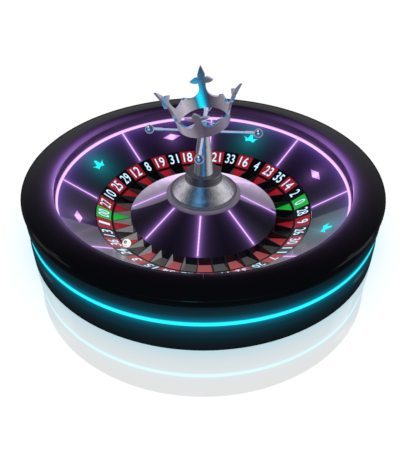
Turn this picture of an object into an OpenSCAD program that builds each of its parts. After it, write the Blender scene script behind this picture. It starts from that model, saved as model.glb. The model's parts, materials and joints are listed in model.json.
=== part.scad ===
// Roulette wheel: a lit round bowl with a ball track, and a rotor with 38 numbered pockets,
// light bars and a turret that carries four arms and a tilted crown.
// Millimetres, +Z up. The origin is on the wheel's axis, on the surface it stands on.

/* [Bowl] */
// Outer radius of the rim, its widest point
rim_r = 406.4; // [404:0.1:410]
// Height of the rim's widest point
rim_z = 137; // [135:0.5:140]
// Height of the top of the rim
rim_top_z = 146.5; // [145:0.5:150]
// Radius of the crest of the rim
rim_crest_r = 354; // [350:1:360]
// Inner radius of the rim's lip
lip_r = 338.3; // [337:0.1:339]
// Height of the rim's inner lip
lip_z = 139; // [137:0.5:140]
// Height of the seam between the rim and the side wall
seam_z = 121; // [118:1:124]
// Outer radius of the side wall
wall_r = 404.5; // [403:0.1:405]
// Height of the middle of the side light
side_light_z = 74.6; // [70:0.1:80]
// Height of the face of the side light
side_light_h = 10; // [6:0.5:14]
// Height of the shallow channel round the side light
channel_h = 46; // [30:1:60]

/* [Apron] */
// Outer radius of the apron's slope
apron_out_r = 332.5; // [331:0.5:334]
// Height of the apron's outer edge
apron_out_z = 106.5; // [105:0.5:108]
// Inner radius of the apron
apron_in_r = 256.2; // [255.8:0.1:258]
// Height of the apron's inner edge
apron_in_z = 55.3; // [54:0.1:57]
// Number of light bars on the apron, and on the rotor's cone
bars = 8; // [8]
// Width of a light bar
bar_w = 4.6; // [3:0.1:8]
// Angle of the first apron light bar
apron_bar_angle = -3.84; // [-10:0.01:10]

/* [Rotor] */
// Number of pockets
pockets = 38; // [38]
// Outer radius of the number ring
number_out_r = 254.6; // [254:0.1:255]
// Height of the number ring's outer edge
number_out_z = 52.6; // [51:0.1:54]
// Inner radius of the number ring
number_in_r = 220.3; // [219:0.1:222]
// Height of the number ring's inner edge
number_in_z = 32; // [31:0.1:34]
// Outer radius of the pockets
pocket_out_r = 216.3; // [215:0.1:218]
// Inner radius of the pockets
pocket_in_r = 175.5; // [175:0.1:177]
// Thickness of a pocket separator
fin_t = 2.4; // [1.5:0.1:3]
// Angle of the middle of the first pocket, number 0
first_pocket_angle = 5.755; // [-10:0.001:10]
// Outer radius of the rotor's cone
cone_out_r = 174.8; // [174:0.1:175]
// Height of the cone's outer edge
cone_out_z = 34.6; // [33:0.1:36]
// Radius of the cone's flat top, under the turret
cone_in_r = 86; // [84:0.5:87]
// Height of the cone's flat top
cone_in_z = 83; // [82:0.1:84]
// Angle of the first rotor light bar and of the first turret arm
rotor_bar_angle = -4.14; // [-10:0.01:10]

/* [Turret] */
// Radius of the turret's foot
foot_r = 87.5; // [87:0.1:88]
// Radius of the dome's lower edge, inside the rope ring
dome_r = 67; // [65:0.1:69]
// Height of the dome's lower edge
dome_z = 97.5; // [96:0.1:99]
// Radius of the rope ring's middle line
rope_r = 76.2; // [76.2:0.1:78]
// Height of the bottom of the collar
collar_z = 127; // [125:0.5:129]
// Height of the bottom of the column
column_z = 145.5; // [144:0.5:148]
// Radius of the column at its bottom
column_r = 21.5; // [18:0.5:23]
// Height of the four arms
arm_z = 247; // [244:0.5:250]
// Distance from the axis to the centre of each arm's ball
arm_ball_at = 118.5; // [110:0.5:125]
// Radius of each arm's ball
arm_ball_r = 9.8; // [8:0.1:12]

/* [Crown] */
// Radius of the crown's bottom edge
crown_r = 57.8; // [55:0.1:60]
// Radius of the crown's tips
crown_tip_r = 92.6; // [88:0.1:95]
// Height of the crown's tips above its bottom edge
crown_h = 82; // [80:1:85]
// Height of the middle of the crown's bottom edge
crown_z = 269.8; // [268:0.1:272]
// Tilt of the crown towards -Y
crown_tilt_y = 7.7; // [0:0.1:12]
// Tilt of the crown towards -X
crown_tilt_x = 9.4; // [0:0.1:12]
// Thickness of the crown's band
crown_t = 5.2; // [3:0.1:6]

/* [Spindle and bearings] */
// Radius of the spindle in the bearings
spindle_r = 10; // [10]
// Outer radius of each bearing
bearing_r = 21; // [21]
// Width of each bearing
bearing_w = 12; // [12]
// Height of the bottom of the lower bearing
lower_bearing_z = 38; // [38]
// Height of the bottom of the upper bearing
upper_bearing_z = 64; // [64]
// Number of balls in each bearing
bearing_balls = 9; // [8:1:10]

/* [Ball] */
// Radius of the roulette ball
ball_r = 9.5; // [9:0.1:9.5]
// Angle at which the ball rests
ball_angle = 218.2; // [200:0.1:240]

/* [Hidden] */
$fn = 96;

// Colours
gloss_black = [0.03, 0.03, 0.035];
satin_black = [0.06, 0.06, 0.07];
silver = [0.62, 0.62, 0.66];
steel = [0.5, 0.5, 0.53];
cyan = [0.16, 1, 1];
purple = [1, 0.8, 1];
red = [0.67, 0.12, 0.18];
green = [0.14, 0.72, 0.24];
board = [0.05, 0.25, 0.12];

// Bowl
foot_h = 3;
foot_pad_r = 22;
foot_at = 360;
plate_z = 2;
plate_top = 7;
wall_in_r = 388;
plate_r = 396;
channel_r = wall_r - 3.5;
channel_lo = side_light_z - channel_h / 2 - 3.6;
channel_hi = channel_lo + channel_h;
flange_z = 127;
rim_under_z = 132;
flange_in_r = 344;
deck_r = 399.5;
rim_screw_at = 370;
track_out_r = 350;
track_z = 113;
strip_out_r = 343;
light_lo_z = apron_out_z;
base_screw_at = 391.6;
ring_segments = 24;
segment_joint = 0.02;

// Apron
apron_t = 5;
apron_slope = (apron_out_z - apron_in_z) / (apron_out_r - apron_in_r);
bar_in_r = 257.5;
diamond_r = 293;
diamond_angle = 17.6;
crown_sign_r = 297;
crown_sign_angle = 64.2;
rib_t = 8;

// Rotor
pitch = 360 / pockets;
number_slope = (number_out_z - number_in_z) / (number_out_r - number_in_r);
plate_t = 1.5;
plate_edge = 1.2;
fin_out_z = 31;
fin_in_z = 35;
floor_out_z = 28;
floor_in_z = 13.5;
floor_t = 2;
cone_slope = (cone_in_z - cone_out_z) / (cone_out_r - cone_in_r);
cone_t = 3;
rotor_bar_out_r = 171.8;
rotor_bar_in_r = 87.8;
hub_r = 27;
hub_flange_r = 60;
hub_flange_z = 36;
hub_bolt_at = 54.5;

// Pocket colours, clockwise seen from above, starting at number 0
green_list = [0, 19];
red_list = [for (k = [2 : 2 : pockets - 2]) k];
black_list = [for (k = [1 : 2 : pockets - 1]) if (k != 19) k];

// Bearings
race_r = 15.6;
bearing_ball_r = 3.5;
groove_r = 3.6;
inner_race_r = 13.6;
outer_race_r = 17.6;

// Ball: it sits just above the number ring's inner edge
ball_gap = 0.3;
ball_tilt = atan(number_slope);
ball_contact_r = number_in_r + 0.8;
ball_at_r = ball_contact_r - (ball_r + ball_gap) * sin(ball_tilt);
ball_at_z = number_in_z + 0.8 * number_slope + (ball_r + ball_gap) * cos(ball_tilt);

// Crown: the band's radius grows with the square of the height
crown_flare = (crown_tip_r - crown_r - 0.0277 * crown_h) / pow(crown_h, 2);
function crown_band_r(z) = crown_r + 0.0277 * z + crown_flare * z * z;

// Height of the apron, number ring and cone at radius r
function apron_z(r) = apron_in_z + (r - apron_in_r) * apron_slope;
function number_z(r) = number_in_z + (r - number_in_r) * number_slope;
function cone_z(r) = cone_out_z + (cone_out_r - r) * cone_slope;

// Points on a circle arc in the section plane
function arc(cr, cz, r, a0, a1, n = 8) =
  [for (i = [0 : n]) [cr + r * cos(a0 + (a1 - a0) * i / n), cz + r * sin(a0 + (a1 - a0) * i / n)]];

module revolve(points) {
  rotate_extrude() polygon(points);
}

module around(count, first = 0) {
  for (i = [0 : count - 1]) rotate([0, 0, first + i * 360 / count]) children();
}

// A ring built up from equal segments, with hairline joints of segment_joint degrees
module segmented_ring(points) {
  around(ring_segments)
    rotate_extrude(angle = 360 / ring_segments - segment_joint) polygon(points);
}

// A radial wall of width w from radius r0 to r1
module spoke(r0, r1, w, z0, z1) {
  translate([r0, -w / 2, z0]) cube([r1 - r0, w, z1 - z0]);
}

// ---- Bowl ----

module rubber_feet() {
  color(satin_black)
    around(8) translate([foot_at, 0, 0]) cylinder(r = foot_pad_r, h = foot_h);
}

module base_plate() {
  color(satin_black)
    difference() {
      translate([0, 0, plate_z]) cylinder(r = plate_r, h = plate_top - plate_z);
      around(8) translate([foot_at, 0, 0]) cylinder(r = foot_pad_r, h = foot_h);
      cylinder(r = 12.5, h = 20);
      around(12, 15) translate([base_screw_at, 0, 0]) {
        base_screw();
        cylinder(r = 3.8, h = plate_z + 1);
      }
      around(6) translate([24, 0, 0]) cylinder(r = 3, h = 20);
    }
}

module base_screw() {
  translate([0, 0, plate_z + 0.4]) cylinder(r = 3.8, h = 2);
  translate([0, 0, plate_z + 2.4]) cylinder(r = 2, h = 9);
}

module base_screws() {
  color(steel) around(12, 15) translate([base_screw_at, 0, 0]) base_screw();
}

module lower_shell() {
  light_lo = side_light_z - side_light_h / 2;
  light_hi = side_light_z + side_light_h / 2;
  color(gloss_black)
    difference() {
      revolve(concat(
        [[plate_r, plate_z], [398.7, plate_z]],
        arc(398.5, 8.2, 6, -80, 0),
        [[wall_r, channel_lo - 2.5], [channel_r, channel_lo],
         [channel_r, light_lo], [395.6, light_lo], [395.6, light_hi], [channel_r, light_hi],
         [channel_r, channel_hi], [wall_r - 0.3, channel_hi + 2.5], [wall_r - 0.5, seam_z],
         [deck_r, seam_z], [deck_r, flange_z], [wall_in_r, flange_z], [wall_in_r, plate_top],
         [plate_r, plate_top]]));
      around(12, 15) translate([base_screw_at, 0, 0]) base_screw();
      inlet_cut();
    }
}

module deck_ring() {
  color(satin_black)
    difference() {
      revolve([[flange_in_r, flange_z], [deck_r, flange_z], [deck_r, rim_under_z],
        [flange_in_r, rim_under_z]]);
      around(8, 7.41) translate([rim_screw_at, 0, 0]) rim_screw();
    }
}

module inlet_cut() {
  translate([0, 380, 25]) rotate([-90, 0, 0]) cylinder(r = 7, h = 40);
  translate([0, 400.5, 25]) rotate([-90, 0, 0]) cylinder(r = 12, h = 20);
}

module side_light_ring() {
  z0 = side_light_z - side_light_h / 2;
  z1 = side_light_z + side_light_h / 2;
  color(cyan) revolve([[397.6, z0], [channel_r + 0.3, z0], [channel_r + 0.9, z0 + 1],
    [channel_r + 0.9, z1 - 1], [channel_r + 0.3, z1], [397.6, z1]]);
}

module side_led_strip() {
  color(board)
    difference() {
      translate([0, 0, side_light_z - 4.5]) cylinder(r = 397.5, h = 9);
      cylinder(r = 395.6, h = 200);
    }
}

module rim_cap() {
  rim_n = 1.76;
  outer = [for (i = [0 : 12]) let (t = i * 7.5)
    [rim_crest_r + (rim_r - rim_crest_r) * pow(cos(t), 2 / rim_n),
     rim_z + (rim_top_z - rim_z) * pow(sin(t), 2 / rim_n)]];
  inner = [for (i = [1 : 8]) let (t = 90 - i * 11.25)
    [rim_crest_r - (rim_crest_r - lip_r) * cos(t), lip_z + (rim_top_z - lip_z) * sin(t)]];
  color(gloss_black)
    difference() {
      segmented_ring(concat([[deck_r, seam_z], [wall_r - 0.3, seam_z], [wall_r + 0.3, seam_z + 4]],
        outer, inner, [[lip_r, rim_under_z], [deck_r, rim_under_z]]));
      around(8, 7.41) translate([rim_screw_at, 0, 0]) rim_screw();
    }
}

module rim_screw() {
  translate([0, 0, flange_z - 2.5]) cylinder(r = 4, h = 2.5);
  translate([0, 0, flange_z]) cylinder(r = 2, h = 12);
}

module rim_screws() {
  color(steel) around(8, 7.41) translate([rim_screw_at, 0, 0]) rim_screw();
}

// The track light and its strip sit in a rebate under the ball track
module ball_track() {
  hollow = [for (i = [0 : 10]) let (t = i / 10)
    [lip_r + (337 - lip_r) * t + 4 * sin(180 * t), rim_under_z + (track_z - rim_under_z) * t]];
  color(gloss_black)
    segmented_ring(concat(hollow, [[strip_out_r, track_z], [strip_out_r, light_lo_z],
      [track_out_r, light_lo_z], [track_out_r, flange_z], [flange_in_r, flange_z],
      [flange_in_r, rim_under_z]]));
}

module track_light_ring() {
  color(purple)
    revolve([[apron_out_r, light_lo_z], [337, track_z], [341, track_z], [341, light_lo_z]]);
}

module track_led_strip() {
  color(board)
    revolve([[341, light_lo_z], [341, track_z], [strip_out_r, track_z], [strip_out_r, light_lo_z]]);
}

// ---- Apron ----

module apron_shell() {
  revolve([[apron_in_r, apron_in_z], [apron_out_r, apron_out_z], [track_out_r, apron_out_z],
    [track_out_r, apron_out_z - apron_t], [apron_out_r + 3, apron_out_z - apron_t],
    [apron_in_r + 3, apron_in_z - apron_t - 0.7], [apron_in_r, apron_in_z - apron_t]]);
}

module apron_bar_cut() {
  around(bars, apron_bar_angle) spoke(bar_in_r, apron_out_r, bar_w, 20, 120);
}

module diamond() {
  polygon([[-8.2, 0], [0, 25], [8.2, 0], [0, -25]]);
}

// A small crown outline, its tips along +X
module crown_sign() {
  half = [[12, 0], [9.5, 4.2], [5, 4.6], [-0.5, 8], [0.5, 12], [3, 21.5], [-1.5, 15.5],
    [-5, 13], [-9.5, 11], [-6.8, 5], [-6.2, 0]];
  polygon(concat(half, [for (i = [len(half) - 2 : -1 : 1]) [half[i][0], -half[i][1]]]));
}

module diamond_cut() {
  around(4, diamond_angle) translate([diamond_r, 0, 20]) linear_extrude(100) diamond();
}

module crown_sign_cut() {
  around(4, crown_sign_angle) translate([crown_sign_r, 0, 20]) linear_extrude(100) crown_sign();
}

module apron() {
  color(gloss_black)
    difference() {
      apron_shell();
      apron_bar_cut();
      diamond_cut();
      crown_sign_cut();
    }
}

module apron_light_bars() {
  color(purple) intersection() {
    apron_shell();
    apron_bar_cut();
  }
}

module diamond_lights() {
  color(purple) intersection() {
    apron_shell();
    diamond_cut();
  }
}

module crown_lights() {
  color(cyan) intersection() {
    apron_shell();
    crown_sign_cut();
  }
}

// Boards lie flat against the apron's underside
module apron_led_boards() {
  lean = atan(apron_slope);
  color(board) {
    around(bars, apron_bar_angle) translate([265, 0, apron_z(265) - 9.7])
      rotate([0, -lean, 0]) translate([0, -5, 0]) cube([76, 10, 1.6]);
    around(bars, apron_bar_angle + 22.5) translate([282, 0, apron_z(282) - 9.6])
      rotate([0, -lean, 0]) translate([0, -18, 0]) cube([34, 36, 1.6]);
  }
}

module apron_ribs() {
  color(satin_black)
    around(8, apron_bar_angle + 11.25) translate([0, rib_t / 2, 0]) rotate([90, 0, 0])
      linear_extrude(rib_t)
        polygon([[apron_in_r + 4, plate_top], [375, plate_top], [375, 60], [348, 101.4],
          [apron_out_r + 3, 101.4], [apron_in_r + 4, apron_in_z - 5.4]]);
}

// ---- Spindle and bearings ----

module spindle_flange() {
  color(steel)
    difference() {
      union() {
        translate([0, 0, plate_top]) cylinder(r = 32, h = 7);
        translate([0, 0, plate_top]) cylinder(r = 18, h = 17);
      }
      cylinder(r = 12.5, h = 40);
      around(6) translate([24, 0, 0]) cylinder(r = 3, h = 40);
    }
}

module flange_bolts() {
  color(steel)
    around(6) translate([24, 0, 0]) {
      translate([0, 0, plate_z + 0.5]) cylinder(r = 3, h = 11.5);
      translate([0, 0, plate_top + 7]) cylinder(r = 5, h = 4, $fn = 6);
    }
}

module spindle() {
  color(steel) {
    translate([0, 0, plate_z + 0.5]) cylinder(r = 12.5, h = lower_bearing_z - plate_z - 0.5);
    translate([0, 0, lower_bearing_z - 0.1]) cylinder(r = spindle_r, h = 38.1);
    translate([0, 0, 76]) cylinder(r = 8, h = 15);
    translate([0, 0, 91]) cylinder(r1 = 8, r2 = 6.5, h = 1.5);
  }
}

module race(r0, r1, z0) {
  color(silver)
    difference() {
      translate([0, 0, z0]) cylinder(r = r1, h = bearing_w);
      translate([0, 0, z0 - 1]) cylinder(r = r0, h = bearing_w + 2);
      translate([0, 0, z0 + bearing_w / 2]) rotate_extrude() translate([race_r, 0]) circle(r = groove_r);
    }
}

module lower_inner_race() {
  race(spindle_r, inner_race_r, lower_bearing_z);
}

module upper_inner_race() {
  race(spindle_r, inner_race_r, upper_bearing_z);
}

module lower_outer_race() {
  race(outer_race_r, bearing_r, lower_bearing_z);
}

module upper_outer_race() {
  race(outer_race_r, bearing_r, upper_bearing_z);
}

module bearing_ball_set(z0, r) {
  around(bearing_balls) translate([race_r, 0, z0 + bearing_w / 2]) sphere(r = r);
}

// A bearing's cage and its balls, as separate solids of one node
module caged_balls(z0) {
  color("goldenrod") difference() {
    translate([0, 0, z0 + 1.5]) cylinder(r = race_r + 1.4, h = bearing_w - 3);
    translate([0, 0, z0]) cylinder(r = race_r - 1.4, h = bearing_w);
    bearing_ball_set(z0, bearing_ball_r + 0.05);
  }
  color(silver) bearing_ball_set(z0, bearing_ball_r);
}

module lower_bearing_cage() {
  caged_balls(lower_bearing_z);
}

module upper_bearing_cage() {
  caged_balls(upper_bearing_z);
}

module bearing_spacer() {
  z0 = lower_bearing_z + bearing_w;
  color(steel)
    difference() {
      translate([0, 0, z0]) cylinder(r = 13, h = upper_bearing_z - z0);
      translate([0, 0, z0 - 1]) cylinder(r = spindle_r, h = 20);
    }
}

module spindle_washer() {
  color(steel)
    difference() {
      translate([0, 0, 76]) cylinder(r = 14, h = 2);
      translate([0, 0, 70]) cylinder(r = 8, h = 20);
    }
}

module spindle_nut() {
  color(steel)
    difference() {
      translate([0, 0, 78]) cylinder(r = 13.5, h = 10, $fn = 6);
      translate([0, 0, 70]) cylinder(r = 8, h = 20);
    }
}

// ---- Electrical parts ----

module brush_block() {
  color(satin_black)
    difference() {
      translate([33, -11, plate_top]) cube([21, 22, 19]);
      for (i = [0 : 2]) translate([34.5 + 6.5 * i, -3, plate_top + 12]) cube([5, 6, 20]);
    }
}

module brushes() {
  color("dimgray")
    for (i = [0 : 2]) translate([34.5 + 6.5 * i, -3, plate_top + 12]) cube([5, 6, 10.7]);
}

module slip_ring() {
  color("goldenrod")
    difference() {
      translate([0, 0, 30]) cylinder(r = 52, h = 3);
      cylinder(r = 31, h = 60);
      for (r = [39.75, 46.25]) rotate_extrude() translate([r, 29]) square([1.5, 1.8], center = false);
    }
}

module driver_place() {
  rotate([0, 0, -15]) translate([0, 342, 0]) children();
}

module led_driver_board() {
  color(board) driver_place() {
    difference() {
      translate([-38, -24, 16]) cube([76, 48, 1.6]);
      for (x = [-33, 33]) for (y = [-19, 19]) translate([x, y, 10]) cylinder(r = 1.5, h = 10);
    }
    translate([-28, -14, 17.6]) cube([18, 18, 14]);
    translate([-2, -16, 17.6]) cube([12, 24, 8]);
    for (x = [18, 27]) translate([x, 0, 17.6]) cylinder(r = 4, h = 12);
  }
}

module driver_standoffs() {
  color("goldenrod") driver_place()
    for (x = [-33, 33]) for (y = [-19, 19]) translate([x, y, 0]) {
      translate([0, 0, plate_top]) cylinder(r = 3, h = 16 - plate_top);
      translate([0, 0, 16]) cylinder(r = 1.5, h = 1.6);
      translate([0, 0, 17.6]) cylinder(r = 2.8, h = 1.8);
    }
}

module power_inlet() {
  color(satin_black)
    difference() {
      union() {
        translate([0, 381, 25]) rotate([-90, 0, 0]) cylinder(r = 7, h = 19.5);
        translate([0, 400.5, 25]) rotate([-90, 0, 0]) cylinder(r = 10.5, h = 2.6);
      }
      translate([0, 391, 25]) rotate([-90, 0, 0]) cylinder(r = 2.8, h = 30);
    }
}

module inlet_nut() {
  color(silver)
    difference() {
      translate([0, 383.7, 25]) rotate([-90, 0, 0]) cylinder(r = 10, h = 4, $fn = 6);
      translate([0, 380, 25]) rotate([-90, 0, 0]) cylinder(r = 7, h = 20);
    }
}

// ---- Rotor ----

module rotor_hub() {
  color("silver")
    difference() {
      union() {
        translate([0, 0, hub_flange_z]) cylinder(r = hub_r, h = 79 - hub_flange_z);
        translate([0, 0, hub_flange_z]) cylinder(r = hub_flange_r, h = 4);
      }
      translate([0, 0, 30]) cylinder(r = 18.5, h = 60);
      translate([0, 0, 30]) cylinder(r = bearing_r, h = 8 + bearing_w);
      translate([0, 0, upper_bearing_z]) cylinder(r = bearing_r, h = 20);
      around(6) translate([hub_bolt_at, 0, 20]) cylinder(r = 2.5, h = 30);
    }
}

module hub_bolts() {
  color(steel)
    around(6) translate([hub_bolt_at, 0, 0]) {
      translate([0, 0, 33.5]) cylinder(r = 2.5, h = 6.5);
      translate([0, 0, 40]) cylinder(r = 4.5, h = 3);
    }
}

module rotor_pan() {
  color("silver")
    difference() {
      revolve([[22, 36], [62, 36], [130, 11.5], [pocket_in_r, floor_in_z - floor_t],
        [pocket_out_r, floor_out_z - floor_t], [number_in_r, number_z(number_in_r) - 5.5],
        [number_out_r, number_z(number_out_r) - 5.5], [number_out_r, number_z(number_out_r) - 8.5],
        [number_in_r, number_z(number_in_r) - 8.5], [pocket_out_r, floor_out_z - floor_t - 2.5],
        [pocket_in_r, 9], [129, 9], [61, 33], [22, 33]]);
      around(6) translate([hub_bolt_at, 0, 20]) cylinder(r = 2.5, h = 30);
    }
}

module number_ring() {
  lip_in = number_in_r + plate_edge;
  lip_out = number_out_r - plate_edge;
  color(satin_black)
    revolve([[number_in_r, number_z(number_in_r) - 5.5], [number_in_r, number_in_z],
      [lip_in, number_z(lip_in)], [lip_in, number_z(lip_in) - plate_t],
      [lip_out, number_z(lip_out) - plate_t], [lip_out, number_z(lip_out)],
      [number_out_r, number_out_z], [number_out_r, number_z(number_out_r) - 5.5]]);
}

// One flat sector of the pocket pitch, less a gap in degrees, centred on +X
module sector(points, gap) {
  rotate([0, 0, -(pitch - gap) / 2]) rotate_extrude(angle = pitch - gap) polygon(points);
}

module at_pockets(list) {
  for (k = list) rotate([0, 0, first_pocket_angle - k * pitch]) children();
}

module number_plate() {
  r0 = number_in_r + plate_edge;
  r1 = number_out_r - plate_edge;
  sector([[r0, number_z(r0) - plate_t], [r0, number_z(r0)], [r1, number_z(r1)],
    [r1, number_z(r1) - plate_t]], 0.08);
}

module pocket_floor() {
  sector([[pocket_in_r, floor_in_z - floor_t], [pocket_in_r, floor_in_z],
    [pocket_out_r, floor_out_z], [pocket_out_r, floor_out_z - floor_t]], 0.82);
}

module red_number_plates() {
  color(red) at_pockets(red_list) number_plate();
}

module black_number_plates() {
  color(gloss_black) at_pockets(black_list) number_plate();
}

module green_number_plates() {
  color(green) at_pockets(green_list) number_plate();
}

module pocket_ring() {
  color(gloss_black)
    revolve([[pocket_out_r, floor_out_z - floor_t], [pocket_out_r, fin_out_z],
      [number_in_r, number_in_z], [number_in_r, number_z(number_in_r) - 5.5]]);
}

module red_pockets() {
  color(red) at_pockets(red_list) pocket_floor();
}

module black_pockets() {
  color(gloss_black) at_pockets(black_list) pocket_floor();
}

module green_pockets() {
  color(green) at_pockets(green_list) pocket_floor();
}

module separators() {
  color(steel)
    around(pockets, first_pocket_angle + pitch / 2) translate([0, fin_t / 2, 0])
      rotate([90, 0, 0]) linear_extrude(fin_t)
        polygon([[pocket_in_r + 0.1, floor_in_z - floor_t + 0.1],
          [pocket_out_r - 0.1, floor_out_z - floor_t + 0.1],
          [pocket_out_r - 0.1, fin_out_z], [pocket_in_r + 0.1, fin_in_z]]);
}

module cone_shell() {
  revolve([[20, cone_in_z - 4], [20, cone_in_z], [cone_in_r, cone_in_z], [cone_out_r, cone_out_z],
    [cone_out_r, 11.5], [cone_out_r - 2.5, 11.5], [cone_out_r - 2.5, cone_out_z - 2.4],
    [cone_in_r - 1, cone_in_z - 4]]);
}

module rotor_bar_cut() {
  around(bars, rotor_bar_angle)
    spoke(rotor_bar_in_r, rotor_bar_out_r, bar_w * 0.85, 20, 100);
}

module rotor_cone() {
  color(gloss_black)
    difference() {
      cone_shell();
      rotor_bar_cut();
    }
}

module rotor_light_bars() {
  color(purple) intersection() {
    cone_shell();
    rotor_bar_cut();
  }
}

module rotor_led_boards() {
  lean = atan(cone_slope);
  color(board)
    around(bars, rotor_bar_angle) translate([92, 0, cone_z(92) - 7.5])
      rotate([0, lean, 0]) translate([0, -4, 0]) cube([82, 8, 1.6]);
}

// ---- Turret ----

module turret_base() {
  dome = [for (i = [0 : 14]) let (s = i / 14)
    [dome_r - (dome_r - 43.5) * pow(s, 1.6), dome_z + (collar_z - dome_z) * s]];
  color(silver)
    revolve(concat([[62, cone_in_z], [foot_r - 0.6, cone_in_z]],
      arc(foot_r - 2, 85.2, 2.2, -50, 90, 6),
      [[84.8, 87.4], [71, 87.4], [71, 93.5], [dome_r + 1.5, dome_z - 1.5]], dome,
      [[22, collar_z], [22, 122], [42, 120], [55, 111], [61, 97]]));
}

module turret_rope_ring() {
  color(silver) rotate_extrude() translate([rope_r, 92.4]) circle(r = 5);
}

module turret_collar() {
  color(silver)
    revolve(concat([[22, collar_z]], arc(40.6, collar_z + 3, 3, -90, 90, 6),
      arc(39.2, collar_z + 8.6, 2.6, -90, 90, 6), arc(37.2, column_z - 3.65, 3.65, -90, 90, 6),
      [[column_r + 1, column_z - 1], [10, column_z - 1], [10, collar_z]]));
}

module turret_column() {
  color(silver)
    revolve([[0, column_z - 1], [column_r + 0.9, column_z - 1], [column_r, column_z + 3],
      [19.6, 170], [17.3, 200], [13.9, 228], [12.8, 238], [0, 238]]);
}

// Hub, four arms with their ferrules, and the post and spider that carry the crown
module turret_arms() {
  color(silver) {
    rotate_extrude() polygon(concat([[0, 238], [12.8, 238]], arc(9, 250, 5, 0, 90, 6),
      [[6, 256], [6, 266], [0, 266]]));
    around(4, rotor_bar_angle) translate([10, 0, arm_z]) rotate([0, 90, 0]) {
      cylinder(r = 2.8, h = 82);
      translate([0, 0, 80]) cylinder(r = 3.7, h = arm_ball_at - arm_ball_r - 90);
    }
    crown_place() {
      translate([0, 0, -6]) cylinder(r = 6, h = 10);
      around(3, rotor_bar_angle + 90) translate([0, 0, 1.6]) rotate([0, 90, 0])
        cylinder(r = 1.6, h = crown_r - crown_t - 0.4);
    }
  }
}

module turret_balls() {
  color(silver) around(4, rotor_bar_angle) translate([arm_ball_at, 0, arm_z]) sphere(r = arm_ball_r);
}

module crown_place() {
  lean = norm([crown_tilt_x, crown_tilt_y]);
  translate([0, 0, crown_z]) rotate(lean, [crown_tilt_y, -crown_tilt_x, 0]) children();
}

// Outline of one quarter of the crown: a three-leaf tip and half the dips beside it
crown_half = concat(
  [[0, crown_h], [2.6, 78], [5.6, 72.6], [8, 67.6], [8.2, 64.4], [6.6, 60.8], [10, 62],
   [14.5, 62], [19, 60.6], [25.5, 57.4], [20, 54.2], [14.5, 52.4], [10.5, 52], [8, 52.4]],
  [for (a = [180 : 15 : 270]) [25 + 17.6 * cos(a), 43.6 + 17.6 * sin(a)]],
  [for (a = [280 : 7 : 315]) [25 + 29 * cos(a), 55 + 29 * sin(a)]],
  [[46.4, 33.6], [46.4, -2]]);
crown_outline = concat(crown_half, [for (i = [len(crown_half) - 1 : -1 : 1])
  [-crown_half[i][0], crown_half[i][1]]]);

module crown() {
  steps = 13;
  inner = [for (i = [0 : steps]) let (z = crown_h * i / steps) [crown_band_r(z) - crown_t, z]];
  outer = [for (i = [steps : -1 : 0]) let (z = crown_h * i / steps) [crown_band_r(z), z]];
  color(silver) crown_place()
    intersection() {
      revolve(concat(inner, outer));
      union() around(4, rotor_bar_angle) rotate([90, 0, 90]) translate([0, 0, 20])
        linear_extrude(90) polygon(crown_outline);
    }
}

module ball() {
  color("white") rotate([0, 0, ball_angle]) translate([ball_at_r, 0, ball_at_z]) sphere(r = ball_r);
}

rubber_feet();
base_plate();
base_screws();
lower_shell();
deck_ring();
side_light_ring();
side_led_strip();
rim_cap();
rim_screws();
ball_track();
track_light_ring();
track_led_strip();
apron();
apron_light_bars();
diamond_lights();
crown_lights();
apron_led_boards();
apron_ribs();
spindle_flange();
flange_bolts();
spindle();
lower_inner_race();
upper_inner_race();
bearing_spacer();
spindle_washer();
spindle_nut();
brush_block();
brushes();
led_driver_board();
driver_standoffs();
power_inlet();
inlet_nut();
rotor_hub();
hub_bolts();
lower_outer_race();
upper_outer_race();
rotor_pan();
slip_ring();
number_ring();
red_number_plates();
black_number_plates();
green_number_plates();
pocket_ring();
red_pockets();
black_pockets();
green_pockets();
separators();
rotor_cone();
rotor_light_bars();
rotor_led_boards();
turret_base();
turret_rope_ring();
turret_collar();
turret_column();
turret_arms();
turret_balls();
crown();
lower_bearing_cage();
upper_bearing_cage();
ball();
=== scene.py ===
"""Looks of the lit roulette wheel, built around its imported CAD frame."""
import json
import math

import bpy
from mathutils import Matrix, Vector


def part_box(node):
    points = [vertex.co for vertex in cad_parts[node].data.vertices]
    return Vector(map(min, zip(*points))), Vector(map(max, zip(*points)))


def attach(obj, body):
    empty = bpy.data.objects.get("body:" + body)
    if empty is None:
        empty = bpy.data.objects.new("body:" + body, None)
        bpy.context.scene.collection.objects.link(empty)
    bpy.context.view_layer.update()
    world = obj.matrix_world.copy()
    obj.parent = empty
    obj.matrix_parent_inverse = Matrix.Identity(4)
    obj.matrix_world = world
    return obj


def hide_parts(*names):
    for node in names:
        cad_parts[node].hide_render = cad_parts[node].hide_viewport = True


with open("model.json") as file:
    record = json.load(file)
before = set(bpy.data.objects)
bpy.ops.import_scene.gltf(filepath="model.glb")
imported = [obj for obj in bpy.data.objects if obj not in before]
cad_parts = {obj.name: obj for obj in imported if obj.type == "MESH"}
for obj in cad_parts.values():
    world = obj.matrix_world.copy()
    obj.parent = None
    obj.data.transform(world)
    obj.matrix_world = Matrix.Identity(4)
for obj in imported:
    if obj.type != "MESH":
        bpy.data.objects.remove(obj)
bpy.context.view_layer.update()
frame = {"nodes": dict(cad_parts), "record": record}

scene = bpy.context.scene


# ---- Driving values, in metres and radians ----

pockets = 38
pitch = math.tau / pockets
first_pocket_angle = math.radians(5.755)
wheel_order = ["0", "28", "9", "26", "30", "11", "7", "20", "32", "17", "5", "22", "34",
               "15", "3", "24", "36", "13", "1", "00", "27", "10", "25", "29", "12", "8",
               "19", "31", "18", "6", "21", "33", "16", "4", "23", "35", "14", "2"]

# Inner and outer edge of the number plates' top face.
plate_in_r, plate_in_z = 0.2203, 0.032
plate_out_r, plate_out_z = 0.2546, 0.0526
plate_middle_r = 0.2376
plate_rise = (plate_out_z - plate_in_z) / (plate_out_r - plate_in_r)

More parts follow.
